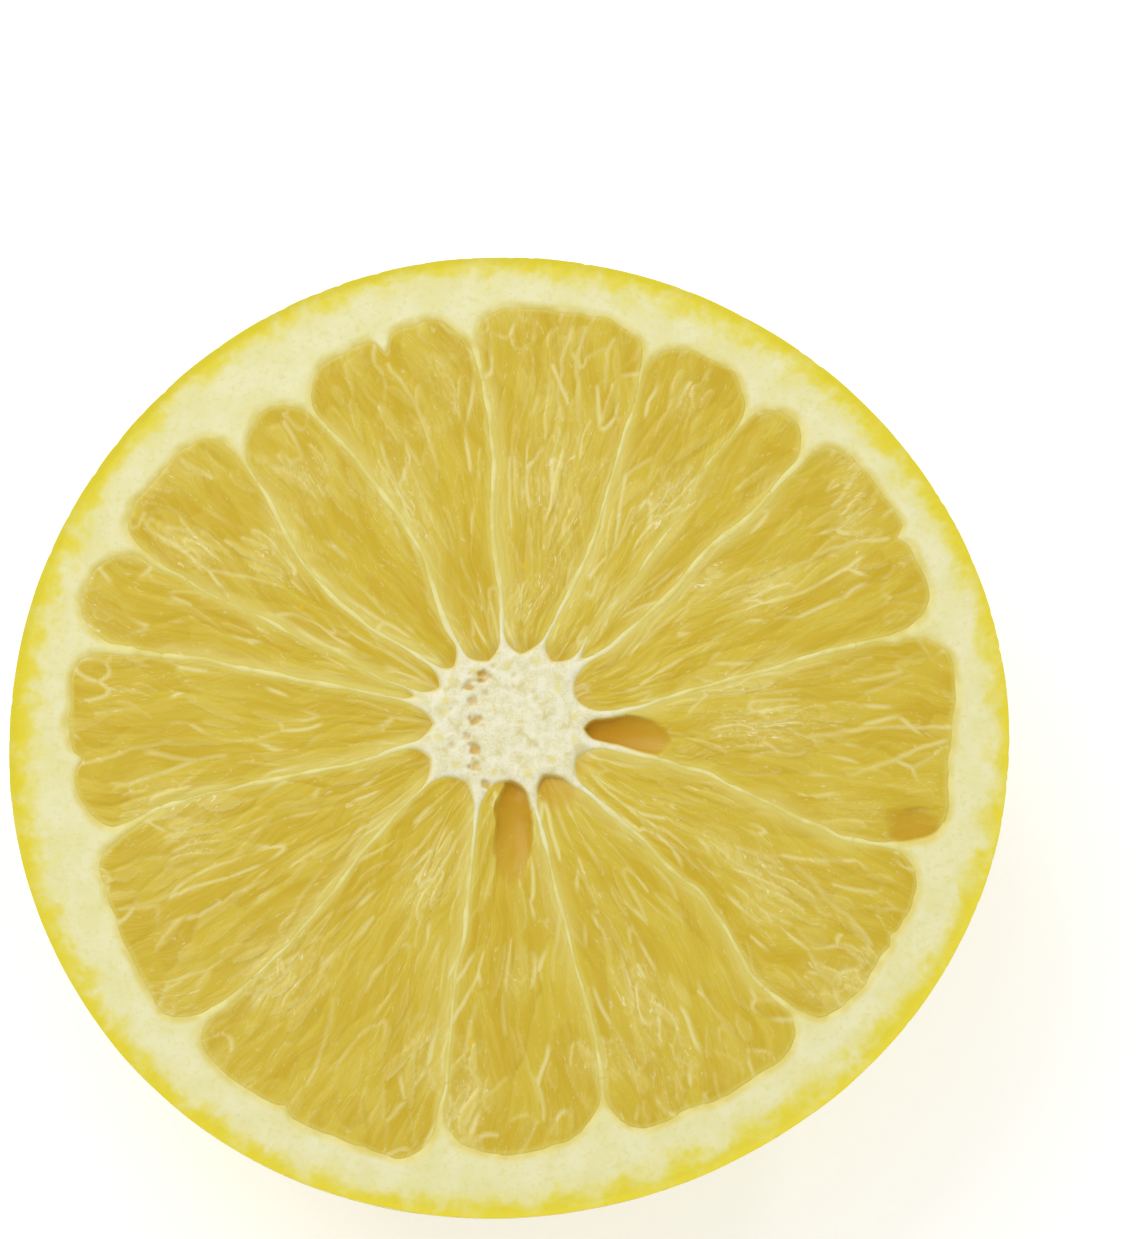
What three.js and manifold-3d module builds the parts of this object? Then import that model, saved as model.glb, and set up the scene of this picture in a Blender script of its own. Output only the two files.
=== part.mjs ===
// Half a grapefruit, cut across its middle and lying on its skin with the cut face up.
// Millimetres, +Z up. The origin is the middle of the fruit's underside, where it rests.
import * as THREE from 'three';
import { mergeVertices } from 'three/addons/utils/BufferGeometryUtils.js';
import Module from 'manifold-3d';

const wasm = await Module();
wasm.setup();

// The dome of peel: half of a slightly flattened ball.
const dome = {
  radius: 52.5,          // mean radius of the cut
  poleToCut: 47.4,       // from the end of the full curve to the cut
  restRadius: 7,         // radius of the flat spot that carries it
  stepsAround: 96,
  stepsUp: 20,
};
const height = dome.poleToCut * Math.sqrt(1 - (dome.restRadius / dome.radius) ** 2);

// A real fruit is not quite round: slow waves in its radius, each with its height in mm and an
// angle where it stands out the most.
const outlineWaves = [
  { perTurn: 2, height: 1.0, peakAt: 15 },
  { perTurn: 3, height: 0.35, peakAt: -10 },
];

// The cut face. The pulp sits a little below the pith, the walls and the core.
const face = {
  coreX: 0.55,           // the core is not quite in the middle of the peel
  coreY: 0.55,
  coreRadius: 8.2,       // where the pulp starts
  pulpDrop: 0.5,
  wall: 0.9,             // thickness of the skin between two segments
  shoulder: 2.2,         // how far the outer corners of a segment are rounded off
  tip: 2.6,              // how far its inner corners are
};

// The walls between the segments, anticlockwise: each wall's angles at the four wallStops, which
// are distances from the core, as it wanders from the core to the rind.
const wallStops = [10, 20, 32, 43];
const walls = [
  [10, 12, 13.5, 14],
  [44, 42, 43, 44.5],
  [50, 52.5, 54, 54.5],
  [71.5, 69, 70, 70.5],
  [99.5, 97.5, 95.5, 97.5],
  [129, 120, 121, 123],
  [145.5, 146, 140.5, 134.5],
  [162, 160, 157.5, 155.5],
  [168, 167.5, 168.5, 169.5],
  [192.5, 194, 193, 195],
  [213.5, 220, 224, 223.5],
  [246, 253.5, 258, 259.5],
  [281, 283, 284, 282.5],
  [316, 318.5, 315, 313.5],
  [348.5, 345.5, 342, 342.5],
];

// How far each segment reaches from the core, starting with the one after the first wall.
const reaches = [46.5, 44.6, 44.8, 45, 44.5, 42.8, 46.9, 47.3, 47, 47.6, 47.4, 45, 44.9, 45.3, 46.4];

// Hollows that a seed or a juice sac has left in the cut face. Each points at the core.
const hollows = [
  { angle: 353, distance: 11.9, length: 9.8, width: 4.6, depth: 4.2 },
  { angle: 263, distance: 11.0, length: 10.6, width: 4.2, depth: 4.0 },
  { angle: 306, distance: 7.7, length: 4.6, width: 3.2, depth: 2.6 },
  { angle: 347, distance: 43.4, length: 4.6, width: 4.4, depth: 2.4 },
];

// Small pits in the spongy core.
const pits = [
  { angle: 128, distance: 6.7, radius: 0.85 },
  { angle: 178, distance: 5.2, radius: 0.6 },
  { angle: 205, distance: 5.3, radius: 0.6 },
];

const overcut = 2;       // how far a cutting solid stands out of the face

const peelMaterial = new THREE.MeshStandardMaterial({
  name: 'peel',
  color: new THREE.Color('#e6d746'),
  roughness: 0.42,
  metalness: 0,
});

const radians = (degrees) => THREE.MathUtils.degToRad(degrees);

function waveAt(angle) {
  return outlineWaves.reduce(
    (sum, wave) => sum + wave.height * Math.cos(wave.perTurn * (angle - radians(wave.peakAt))),
    0,
  );
}

function toManifold(geometry) {
  geometry.deleteAttribute('normal');
  geometry.deleteAttribute('uv');
  const welded = mergeVertices(geometry, 1e-4);
  const mesh = new wasm.Mesh({
    numProp: 3,
    vertProperties: new Float32Array(welded.attributes.position.array),
    triVerts: new Uint32Array(welded.index.array),
  });
  mesh.merge();
  return new wasm.Manifold(mesh);
}

function toGeometry(solid) {
  const mesh = solid.getMesh();
  const geometry = new THREE.BufferGeometry();
  geometry.setAttribute('position', new THREE.BufferAttribute(mesh.vertProperties, 3));
  geometry.setIndex(new THREE.BufferAttribute(mesh.triVerts, 1));
  geometry.computeVertexNormals();
  return geometry;
}

// The curve from the resting spot up to the cut, closed on the axis at both ends.
function domeProfile() {
  const start = Math.asin(dome.restRadius / dome.radius);
  const points = [new THREE.Vector2(0, 0)];
  for (let i = 0; i <= dome.stepsUp; i += 1) {
    const t = start + (Math.PI / 2 - start) * (i / dome.stepsUp);
    points.push(new THREE.Vector2(dome.radius * Math.sin(t), height - dome.poleToCut * Math.cos(t)));
  }
  points.push(new THREE.Vector2(0, height));
  return points;
}

// The waves fade towards the resting spot, which stays round and flat.
function bendOutOfRound(geometry) {
  const position = geometry.attributes.position;
  for (let i = 0; i < position.count; i += 1) {
    const x = position.getX(i);
    const y = position.getY(i);
    const share = Math.sqrt(Math.max(position.getZ(i), 0) / height);
    const scale = 1 + (share * waveAt(Math.atan2(y, x))) / dome.radius;
    position.setXY(i, x * scale, y * scale);
  }
}

function centreOnOrigin(geometry) {
  geometry.computeBoundingBox();
  const middle = geometry.boundingBox.getCenter(new THREE.Vector3());
  geometry.translate(-middle.x, -middle.y, 0);
}

function makeDome() {
  const geometry = new THREE.LatheGeometry(domeProfile(), dome.stepsAround);
  geometry.rotateX(Math.PI / 2);
  bendOutOfRound(geometry);
  centreOnOrigin(geometry);
  return toManifold(geometry);
}

// The angle of a wall at one distance from the core, on the straight lines between its stops.
function wallAngle(wall, radius) {
  let i = 0;
  while (i < wallStops.length - 2 && radius > wallStops[i + 1]) {
    i += 1;
  }
  const share = (radius - wallStops[i]) / (wallStops[i + 1] - wallStops[i]);
  return radians(THREE.MathUtils.lerp(wall[i], wall[i + 1], THREE.MathUtils.clamp(share, 0, 1)));
}

function facePoint(radius, angle) {
  return new THREE.Vector2(
    face.coreX + radius * Math.cos(angle),
    face.coreY + radius * Math.sin(angle),
  );
}

// One segment's outline. Across it, u runs from -1 at the first wall to 1 at the second.
function segmentOutline(first, second, reach) {
  const turn = second[0] < first[0] ? 2 * Math.PI : 0;
  const at = (u, radius) => {
    const low = wallAngle(first, radius);
    const high = wallAngle(second, radius) + turn;
    const half = Math.max((high - low - face.wall / radius) / 2, 0.01);
    return facePoint(radius, (low + high) / 2 + u * half);
  };
  const outer = (u) => reach - face.shoulder * Math.abs(u) ** 4;
  const inner = (u) => face.coreRadius + face.tip * u * u;
  const across = [-1, -0.85, -0.6, -0.3, 0, 0.3, 0.6, 0.85, 1];
  const along = [0.15, 0.35, 0.6, 0.85];
  const side = (u) => along.map((t) => at(u, inner(u) + t * (outer(u) - inner(u))));
  return [
    ...across.map((u) => at(u, outer(u))),
    ...side(1).reverse(),
    ...across.map((u) => at(-u, inner(u))),
    ...side(-1),
  ];
}

function makePocket(first, second, reach) {
  const shape = new THREE.Shape(segmentOutline(first, second, reach));
  const geometry = new THREE.ExtrudeGeometry(shape, {
    depth: face.pulpDrop + overcut,
    bevelEnabled: false,
  });
  geometry.translate(0, 0, height - face.pulpDrop);
  return toManifold(geometry);
}

function makeHollow({ angle, distance, length, width, depth }) {
  const geometry = new THREE.SphereGeometry(0.5, 20, 12);
  geometry.scale(length, width, 2 * depth);
  geometry.rotateZ(radians(angle));
  const middle = facePoint(distance, radians(angle));
  geometry.translate(middle.x, middle.y, height - face.pulpDrop);
  return toManifold(geometry);
}

function makePit({ angle, distance, radius }) {
  const geometry = new THREE.SphereGeometry(radius, 10, 6);
  const middle = facePoint(distance, radians(angle));
  geometry.translate(middle.x, middle.y, height);
  return toManifold(geometry);
}

function makeHalf() {
  const next = (i) => walls[(i + 1) % walls.length];
  const pockets = walls.map((wall, i) => makePocket(wall, next(i), reaches[i]));
  const cutters = [...pockets, ...hollows.map(makeHollow), ...pits.map(makePit)];
  const solid = makeDome().subtract(wasm.Manifold.union(cutters));
  const mesh = new THREE.Mesh(toGeometry(solid), peelMaterial);
  mesh.name = 'half_grapefruit';
  return mesh;
}

const part = new THREE.Group();
part.add(makeHalf());

export default part;
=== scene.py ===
# %% [markdown]
# # Half a grapefruit
#
# This lesson builds the looks of half a white grapefruit, cut across its middle and lying on its
# skin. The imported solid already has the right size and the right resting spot. Here its plain
# surface is replaced by the things that a knife uncovers: a thin yellow peel, white pith, a
# spongy core, the thin walls between the segments, and the juice sacs that fill them.

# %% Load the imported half
import math

import bpy
import numpy as np
from mathutils import Matrix, Vector


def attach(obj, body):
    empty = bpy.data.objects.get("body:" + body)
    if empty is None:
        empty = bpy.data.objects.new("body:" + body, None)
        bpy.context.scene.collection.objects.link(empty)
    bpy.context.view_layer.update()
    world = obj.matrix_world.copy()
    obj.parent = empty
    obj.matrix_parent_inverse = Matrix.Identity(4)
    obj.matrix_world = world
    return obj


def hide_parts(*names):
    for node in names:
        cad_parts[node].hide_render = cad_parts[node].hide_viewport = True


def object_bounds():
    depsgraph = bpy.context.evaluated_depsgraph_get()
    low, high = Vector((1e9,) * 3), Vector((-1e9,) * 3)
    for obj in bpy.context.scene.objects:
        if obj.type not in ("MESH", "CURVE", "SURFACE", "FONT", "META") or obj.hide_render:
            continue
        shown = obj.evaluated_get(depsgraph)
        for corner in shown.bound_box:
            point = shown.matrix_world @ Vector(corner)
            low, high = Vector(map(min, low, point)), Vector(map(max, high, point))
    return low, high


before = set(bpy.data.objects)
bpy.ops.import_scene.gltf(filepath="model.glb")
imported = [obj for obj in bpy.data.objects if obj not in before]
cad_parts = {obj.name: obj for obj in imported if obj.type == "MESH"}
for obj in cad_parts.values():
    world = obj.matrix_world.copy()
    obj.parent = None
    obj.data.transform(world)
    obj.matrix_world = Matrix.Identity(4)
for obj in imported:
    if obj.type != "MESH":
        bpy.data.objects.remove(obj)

cad_low, cad_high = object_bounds()
MM = 0.001
cut_height = cad_high.z / MM
print(f"the cut face lies {cut_height:.1f} mm above the floor")

# %% [markdown]
# ## Random numbers that never change
#
# Fruit is uneven everywhere, so most shapes below take a little noise. Each place on a grid of
# whole numbers gets a scrambled value, and soft curves join them, so every run gives the same
# fruit. The same idea in three dimensions scatters points over the skin, for its pores.


# %% Noise helpers
def scrambled(places, seed):
    """A steady number from 0 to 1 for each whole-number place, given as a list of axes."""
    mixed = np.full(places[0].shape, seed * 9176 + 77, np.uint64)
    with np.errstate(over="ignore"):             # the products are meant to run over
        for axis, prime in zip(places, (374761393, 668265263, 2147483647)):
            mixed = mixed ^ (axis.astype(np.int64).astype(np.uint64) * np.uint64(prime))
            mixed = (mixed ^ (mixed >> np.uint64(15))) * np.uint64(2246822519)
            mixed = mixed & np.uint64(0xFFFFFFFF)
    mixed = mixed ^ (mixed >> np.uint64(13))
    return (mixed & np.uint64(0xFFFF)).astype(float) / 0xFFFF


def hills(x, y, size, seed):
    """Soft hills and dips from -1 to 1, each about one size across."""
    x, y = np.broadcast_arrays(np.asarray(x, float) / size, np.asarray(y, float) / size)
    left, low = np.floor(x), np.floor(y)
    across, up = x - left, y - low
    across = across * across * (3 - 2 * across)
    up = up * up * (3 - 2 * up)
    corner = [[scrambled([left + i, low + j], seed) for i in (0, 1)] for j in (0, 1)]
    rows = [pair[0] + (pair[1] - pair[0]) * across for pair in corner]
    return 2 * (rows[0] + (rows[1] - rows[0]) * up) - 1


def rough_hills(x, y, size, seed, layers=3):
    """Hills with smaller hills on them."""
    total = sum(hills(x, y, size / 2**i, seed + 7 * i) / 2**i for i in range(layers))
    return total / (2 - 0.5 ** (layers - 1))


def soft_step(low, high, value):
    """0 below low, 1 above high, and a smooth rise between them."""
    share = np.clip((value - low) / (high - low), 0, 1)
    return share * share * (3 - 2 * share)


def nearest_dot(points, spacing, seed):
    """How far each point is from the nearest of scattered dots, and that dot's own number."""
    cells = np.floor(points / spacing)
    nearest = np.full(len(points), np.inf)
    number = np.zeros(len(points))
    steps = (-1, 0, 1)
    for step in [(i, j, k) for i in steps for j in steps for k in steps]:
        cell = (cells + step).T
        dot = [cell[axis] + scrambled(cell, seed + axis) for axis in range(3)]
        gap = np.linalg.norm(points - np.array(dot).T * spacing, axis=1)
        closer = gap < nearest
        nearest = np.where(closer, gap, nearest)
        number = np.where(closer, scrambled(cell, seed + 5), number)
    return nearest, number


print("a first noise value:", round(float(hills(1.2, 3.4, 1, 5)), 3))

# %% [markdown]
# ## Mesh helpers
#
# Every piece starts as one of Blender's own primitives. A grid or a ball is added, its points are
# read as plain numbers, the shape is worked out from them, and the points go back in metres.
# Values that the finishes need later, such as the distance to a wall, are kept on the points.


# %% Mesh helpers
def deselect_all():
    bpy.ops.object.select_all(action="DESELECT")


def add_sheet(name, columns, rows):
    """A flat grid, and the share from 0 to 1 that each of its points is across and up."""
    deselect_all()
    bpy.ops.mesh.primitive_grid_add(x_subdivisions=columns, y_subdivisions=rows, size=2)
    piece = bpy.context.object
    piece.name = name
    places = (read_points(piece)[:, :2] + 1) / 2
    return piece, places[:, 0], places[:, 1]


def read_points(piece):
    flat = np.empty(len(piece.data.vertices) * 3, np.float32)
    piece.data.vertices.foreach_get("co", flat)
    return flat.reshape(-1, 3).astype(float)


def place_points(piece, points):
    """Moves the points of a piece to places in millimetres."""
    piece.data.vertices.foreach_set("co", (points * MM).astype(np.float32).ravel())
    piece.data.update()


def keep_value(piece, name, value):
    """Stores a number, or a group of three, on each point, for the finishes to read."""
    value = np.asarray(value, np.float32)
    kind = "FLOAT" if value.ndim == 1 else "FLOAT_VECTOR"
    layer = piece.data.attributes.new(name, kind, "POINT")
    layer.data.foreach_set("value" if value.ndim == 1 else "vector", value.ravel())


def delete_points(piece, doomed):
    """Deletes the chosen points in edit mode, with the faces on them."""
    deselect_all()
    bpy.context.view_layer.objects.active = piece
    piece.select_set(True)
    bpy.ops.object.mode_set(mode="EDIT")
    bpy.ops.mesh.select_mode(type="VERT")
    bpy.ops.mesh.select_all(action="DESELECT")
    bpy.ops.object.mode_set(mode="OBJECT")
    piece.data.vertices.foreach_set("select", doomed)
    bpy.ops.object.mode_set(mode="EDIT")
    bpy.ops.mesh.delete(type="VERT")
    bpy.ops.object.mode_set(mode="OBJECT")


def merge_seam(piece, gap=0.0005):
    """Joins points that lie within a gap, in millimetres, such as a rolled sheet's two ends."""
    deselect_all()
    bpy.context.view_layer.objects.active = piece
    piece.select_set(True)
    bpy.ops.object.mode_set(mode="EDIT")
    bpy.ops.mesh.select_all(action="SELECT")
    bpy.ops.mesh.remove_doubles(threshold=gap * MM)
    bpy.ops.mesh.normals_make_consistent(inside=False)
    bpy.ops.object.mode_set(mode="OBJECT")


def finish_piece(piece, finish):
    """Smooth shading, a finish, and the piece's place in the object."""
    piece.data.shade_smooth()
    piece.data.materials.clear()
    piece.data.materials.append(finish)
    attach(piece, "root")
    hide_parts("half_grapefruit")
    print(f"{piece.name}: {len(piece.data.polygons)} faces")


# %% [markdown]
# ## The plan of the fruit
#
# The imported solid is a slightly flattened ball, out of round by slow waves. The same few numbers
# give the same outline here. Its core lies a little off the middle. Everything on the cut face is
# measured from the core: fifteen walls leave it, each wandering a little, and each segment
# between two walls reaches its own distance into the pith.

# %% The ball's sizes
ball_radius = 52.5
pole_to_cut = 47.4
outline_waves = [(2, 1.0, 15), (3, 0.35, -10)]   # waves per turn, height and peak angle
core = np.array([0.55, 0.55])
just_inside = 0.998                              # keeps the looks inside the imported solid
edge_drop = 0.12                                 # the rim of the cut is a little lower


def out_of_round(angle):
    waves = [height * np.cos(n * (angle - math.radians(peak))) for n, height, peak in outline_waves]
    return sum(waves)


turn = np.linspace(0, 2 * math.pi, 721)
outline = (ball_radius + out_of_round(turn)) * np.array([np.cos(turn), np.sin(turn)])
ball_middle = -(outline.max(axis=1) + outline.min(axis=1)) / 2
print("the ball's axis lies at", np.round(ball_middle, 2), "mm")

# %% The walls and the segments
wall_stops = [10, 20, 32, 43]                    # distances from the core, in mm
walls = [                                        # each wall's angle at those stops, in degrees
    [10, 12, 13.5, 14],
    [44, 42, 43, 44.5],
    [50, 52.5, 54, 54.5],
    [71.5, 69, 70, 70.5],
    [99.5, 97.5, 95.5, 97.5],
    [129, 120, 121, 123],
    [145.5, 146, 140.5, 134.5],
    [162, 160, 157.5, 155.5],
    [168, 167.5, 168.5, 169.5],
    [192.5, 194, 193, 195],
    [213.5, 220, 224, 223.5],
    [246, 253.5, 258, 259.5],
    [281, 283, 284, 282.5],
    [316, 318.5, 315, 313.5],
    [348.5, 345.5, 342, 342.5],
]
wall_widths = [
    0.7, 0.75, 0.45, 0.6, 0.75, 0.7, 0.65, 0.4, 0.65, 0.7, 0.6, 0.6, 0.6, 0.7, 0.65,
]
# Each segment's reach at its first and its second wall, and where its pulp starts.
reaches = np.array([
    (46.6, 46.5), (44.8, 44.7), (45.0, 44.7), (45.1, 45.0), (45.2, 44.2),
    (43.2, 42.9), (44.8, 47.8), (47.8, 47.4), (47.4, 46.6), (46.4, 48.3),
    (48.0, 46.9), (46.0, 43.6), (44.0, 45.3), (45.1, 45.8), (46.2, 47.0),
])
starts = np.array([6.8, 8.8, 7.6, 7.5, 7.4, 8.9, 8.8, 10.5, 8.6, 9.8, 8.0, 5.7, 5.6, 6.8, 6.6])
clefts = [(109.5, 1.7), (185, 1.1), (27, 0.7), (239, 0.7), (331, 0.6)]  # angle and depth
end_radius = 4.2                                 # how round a segment is at the rind
tip_radius = 2.0                                 # and at the core
segment_count = len(walls)

# %% [markdown]
# ## Tables for the walls
#
# Where a wall runs and how thick it is depends only on the distance from the core. Both are worked
# out once, every tenth of a millimetre, and read back from a table wherever they are needed.

# %% Wall tables
table_step = 0.1
table_stops = np.arange(0, 62, table_step)


def wall_path(number):
    """A wall's angle along its way from the core, in radians, with a little wandering."""
    curve = np.polyfit(wall_stops, walls[number], 3)
    steady = np.radians(np.polyval(curve, np.clip(table_stops, 9, 44)))
    wander = 0.45 * hills(table_stops, 0, 7, number) + 0.16 * hills(table_stops, 3, 2.6, number)
    return steady + wander / np.maximum(table_stops, 6)


def half_wall(number):
    """Half a wall's thickness along its way: thicker where it joins the core and the pith."""
    ends = 0.1 * soft_step(11, 7, table_stops) + 0.25 * soft_step(38.5, 44.5, table_stops)
    uneven = 0.11 * hills(table_stops, 5, 3.5, 60 + number)
    uneven = uneven + 0.06 * hills(table_stops, 9, 1.1, 60 + number)
    return np.maximum(wall_widths[number] / 2 + ends + uneven, 0.12)


path_table = np.array([wall_path(number) for number in range(segment_count)])
thickness_table = np.array([half_wall(number) for number in range(segment_count)])


def look_up(table, number, distance):
    """Reads a wall's table at each distance, between its nearest two entries."""
    place = np.clip(distance / table_step, 0, table.shape[1] - 2)
    low = np.asarray(place).astype(int)
    share = place - low
    return table[number, low] * (1 - share) + table[number, low + 1] * share


def wrapped(angle):
    return (angle + math.pi) % (2 * math.pi) - math.pi


def rounded_corner(first, second, radius):
    """The depth inside two edges that meet in a rounded corner."""
    round_part = radius - np.hypot(np.maximum(radius - first, 0), np.maximum(radius - second, 0))
    return np.where((first > radius) & (second > radius), np.minimum(first, second), round_part)


def half_width(number):
    """Half the width of segment number near the rind, in mm."""
    spread = path_table[(number + 1) % segment_count, 430] - path_table[number, 430]
    return (spread % (2 * math.pi)) * 43 / 2 - 0.5


half_widths = np.array([half_width(number) for number in range(segment_count)])
corner_room = 0.9 * half_widths                  # the most that a corner may be rounded


def segment_reach(number, share, x, y):
    """How far the pulp of segment number goes from the core, across its share from wall to wall."""
    reach = reaches[number, 0] + (reaches[number, 1] - reaches[number, 0]) * share
    reach = reach + 0.5 * hills(x, y, 4.5, 11) + 0.2 * hills(x, y, 1.6, 12)
    distance, angle = np.hypot(x, y), np.arctan2(y, x)
    for cleft_angle, depth in clefts:
        off = wrapped(angle - math.radians(cleft_angle)) * distance
        reach = reach - depth * np.exp(-((off / 0.7) ** 2))
    return reach


def segment_depth(number, x, y):
    """How deep each place is inside the pulp of segment number, in mm. Below zero it is outside."""
    distance, angle = np.hypot(x, y), np.arctan2(y, x)
    after = (number + 1) % segment_count
    from_first = wrapped(angle - look_up(path_table, number, distance))
    to_second = wrapped(look_up(path_table, after, distance) - angle)
    side = np.minimum(
        from_first * distance - look_up(thickness_table, number, distance),
        to_second * distance - look_up(thickness_table, after, distance),
    )
    share = np.clip(from_first / np.maximum(from_first + to_second, 1e-3), 0, 1)
    reach = segment_reach(number, share, x, y)
    outer = rounded_corner(side, reach - distance, np.minimum(end_radius, corner_room[number]))
    inner = rounded_corner(side, distance - starts[number], np.minimum(tip_radius, corner_room[number]))
    return np.minimum(outer, inner)


def own_segment(x, y):
    """The number of the segment each place lies in, counted between the walls' middles."""
    distance, angle = np.hypot(x, y), np.arctan2(y, x)
    numbers = range(segment_count)
    past = [(angle - look_up(path_table, number, distance)) % (2 * math.pi) for number in numbers]
    return np.argmin(past, axis=0)


def pulp_depth(x, y):
    """How deep each place is inside the pulp of the segment it lies in, or of a neighbour."""
    own = own_segment(x, y)
    near = [(own + step) % segment_count for step in (-1, 0, 1)]
    return np.max([segment_depth(number, x, y) for number in near], axis=0)


print(f"{segment_count} segments, the widest {2 * half_widths.max():.0f} mm")

# %% [markdown]
# ## Hollows and pits
#
# Seeds have fallen out and left smooth amber hollows that point at the core, and one juice sac is
# missing at the rind. A hollow is a smooth bowl, deepest at its inner end, that rises slowly at
# its outer one. The core has a few small pits where its threads have pulled out.

# %% Hollows and pits
hollows = [  # angle, distance, length, width, depth, how far the outer end runs out, amber
    (355.0, 11.3, 11.4, 4.9, 1.6, 0.7, 1.0),
    (267.5, 11.2, 12.6, 4.3, 1.4, 0.9, 0.85),
    (302, 7.6, 6.4, 4.4, 0.6, 0.8, 0.5),
    (346.0, 43.7, 6.2, 5.4, 0.45, 0.2, 0.55),
]
pits = [  # angle, distance, radius
    (127.5, 6.8, 1.2), (119.5, 8.7, 0.45), (141, 6.7, 0.8), (104.5, 3.9, 0.6),
    (176, 4.8, 0.95), (208.5, 5.3, 1.0), (223, 6.4, 0.75), (96, 5.4, 0.5), (192, 5.6, 0.6),
    (64, 4.2, 0.4), (152, 5.6, 0.7), (166, 7.4, 0.6), (134, 4.9, 0.5), (240, 7.1, 0.7),
    (112, 6.9, 0.6), (197, 7.4, 0.5),
]


def hollow_shape(x, y):
    """How far the hollows go below the cut face at each place, and how amber they are. A hollow
    never goes through a wall into the next segment."""
    deepest, amber = np.zeros(x.shape), np.zeros(x.shape)
    own = own_segment(x, y)
    ragged = 1 + 0.13 * hills(x, y, 2.2, 21) + 0.05 * hills(x, y, 0.8, 22)
    for angle, distance, length, width, depth, run_out, strength in hollows:
        a = math.radians(angle)
        dx, dy = x - distance * math.cos(a), y - distance * math.sin(a)
        along = (dx * math.cos(a) + dy * math.sin(a)) / (length / 2)
        across = (dy * math.cos(a) - dx * math.sin(a)) / (width / 2)
        size = np.sqrt(along**2 + across**2) * ragged
        here = own == own_segment(distance * math.cos(a), distance * math.sin(a))
        slope = here * (1 - run_out * soft_step(-0.6, 1.0, along))
        bowl = np.clip(1 - size**2, 0, 1) ** 0.75
        deepest = np.maximum(deepest, depth * slope * bowl)
        edge = soft_step(1.03, 0.3 + 0.55 * strength, size)
        amber = np.maximum(amber, strength * slope**0.4 * edge)
    return deepest, amber


def pit_depth(x, y):
    deepest = np.zeros(x.shape)
    for angle, distance, radius in pits:
        a = math.radians(angle)
        gap = np.hypot(x - distance * math.cos(a), y - distance * math.sin(a))
        gap = gap + 0.6 * radius * hills(x, y, 0.9, 31) + 0.35 * radius * hills(x, y, 0.4, 32)
        deepest = np.maximum(deepest, 0.5 * radius * soft_step(radius, 0.0, gap))
    return deepest


print(len(hollows), "hollows and", len(pits), "pits")

# %% [markdown]
# ## A helper for finishes
#
# A finish is a chain of nodes. Adding one node takes several lines in Blender's own words, so a
# small class does it in one. Every finish ends in one Principled shader.


# %% Finish helper
class Finish:
    """A material, and short ways to add nodes to it."""

    def __init__(self, name):
        self.material = bpy.data.materials.new(name)
        self.material.use_nodes = True
        self.tree = self.material.node_tree
        self.shader = self.tree.nodes["Principled BSDF"]

    def connect(self, value, socket):
        if isinstance(value, bpy.types.NodeSocket):
            self.tree.links.new(value, socket)
        else:
            socket.default_value = value

    def node(self, kind, inputs, **settings):
        made = self.tree.nodes.new("ShaderNode" + kind)
        for name, value in settings.items():
            setattr(made, name, value)
        for name, value in inputs.items():
            self.connect(value, made.inputs[name])
        return made

    def kept(self, name):
        """The three parts of a value that was kept on the points, and all of it as a vector."""
        vector = self.node("Attribute", {}, attribute_name=name).outputs["Vector"]
        parts = self.node("SeparateXYZ", {"Vector": vector}).outputs
        return vector, parts["X"], parts["Y"], parts["Z"]

    def place(self):
        """Where a point is on the object, in millimetres."""
        found = self.node("TexCoord", {}).outputs["Object"]
        return self.stretched(found, (1 / MM, 1 / MM, 1 / MM))

    def stretched(self, vector, scale, shift=(0, 0, 0)):
        made = self.node("Mapping", {"Vector": vector, "Scale": scale, "Location": shift})
        return made.outputs["Vector"]

    def noise(self, vector, scale, detail=2.0, distortion=0.0, roughness=0.5):
        inputs = {"Vector": vector, "Scale": scale, "Detail": detail}
        inputs |= {"Distortion": distortion, "Roughness": roughness}
        return self.node("TexNoise", inputs).outputs["Fac"]

    def math(self, operation, first, second=0.0, clamp=False):
        made = self.node("Math", {0: first, 1: second}, operation=operation, use_clamp=clamp)
        return made.outputs[0]

    def rise(self, value, low, high, start=0.0, end=1.0):
        """A value that goes smoothly from start to end as another goes from low to high."""
        inputs = {"Value": value, "From Min": low, "From Max": high, "To Min": start, "To Max": end}
        return self.node("MapRange", inputs, interpolation_type="SMOOTHSTEP").outputs["Result"]

    def mix(self, share, first, second, blend="MIX"):
        made = self.node("Mix", {}, data_type="RGBA", blend_type=blend)
        for value, number in ((share, 0), (first, 6), (second, 7)):
            self.connect(value, made.inputs[number])
        return made.outputs[2]

    def bump(self, height, strength, distance):
        inputs = {"Height": height, "Strength": strength, "Distance": distance * MM}
        return self.node("Bump", inputs).outputs["Normal"]

    def set(self, **inputs):
        for name, value in inputs.items():
            self.connect(value, self.shader.inputs[name.replace("_", " ")])


def colour(red, green, blue):
    """A colour given in the 0 to 255 numbers of a paint chart, as the light that nodes need."""
    parts = [c / 255 for c in (red, green, blue)]
    return (*[c / 12.92 if c <= 0.04045 else ((c + 0.055) / 1.055) ** 2.4 for c in parts], 1)


print("a paint chart's mid grey is", round(colour(128, 128, 128)[0], 3), "as light")

# %% [markdown]
# ## The finish of the peel
#
# The skin is waxy yellow with fine pores, where oil glands lie under it. Its colour drifts between
# lemon and a warmer yellow, and handling leaves small brown specks and short scratches. The end
# of the fruit has a small brown scar. Pores are a fine bump, a little warmer than the skin round
# them, and the larger dimples are modelled.


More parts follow.
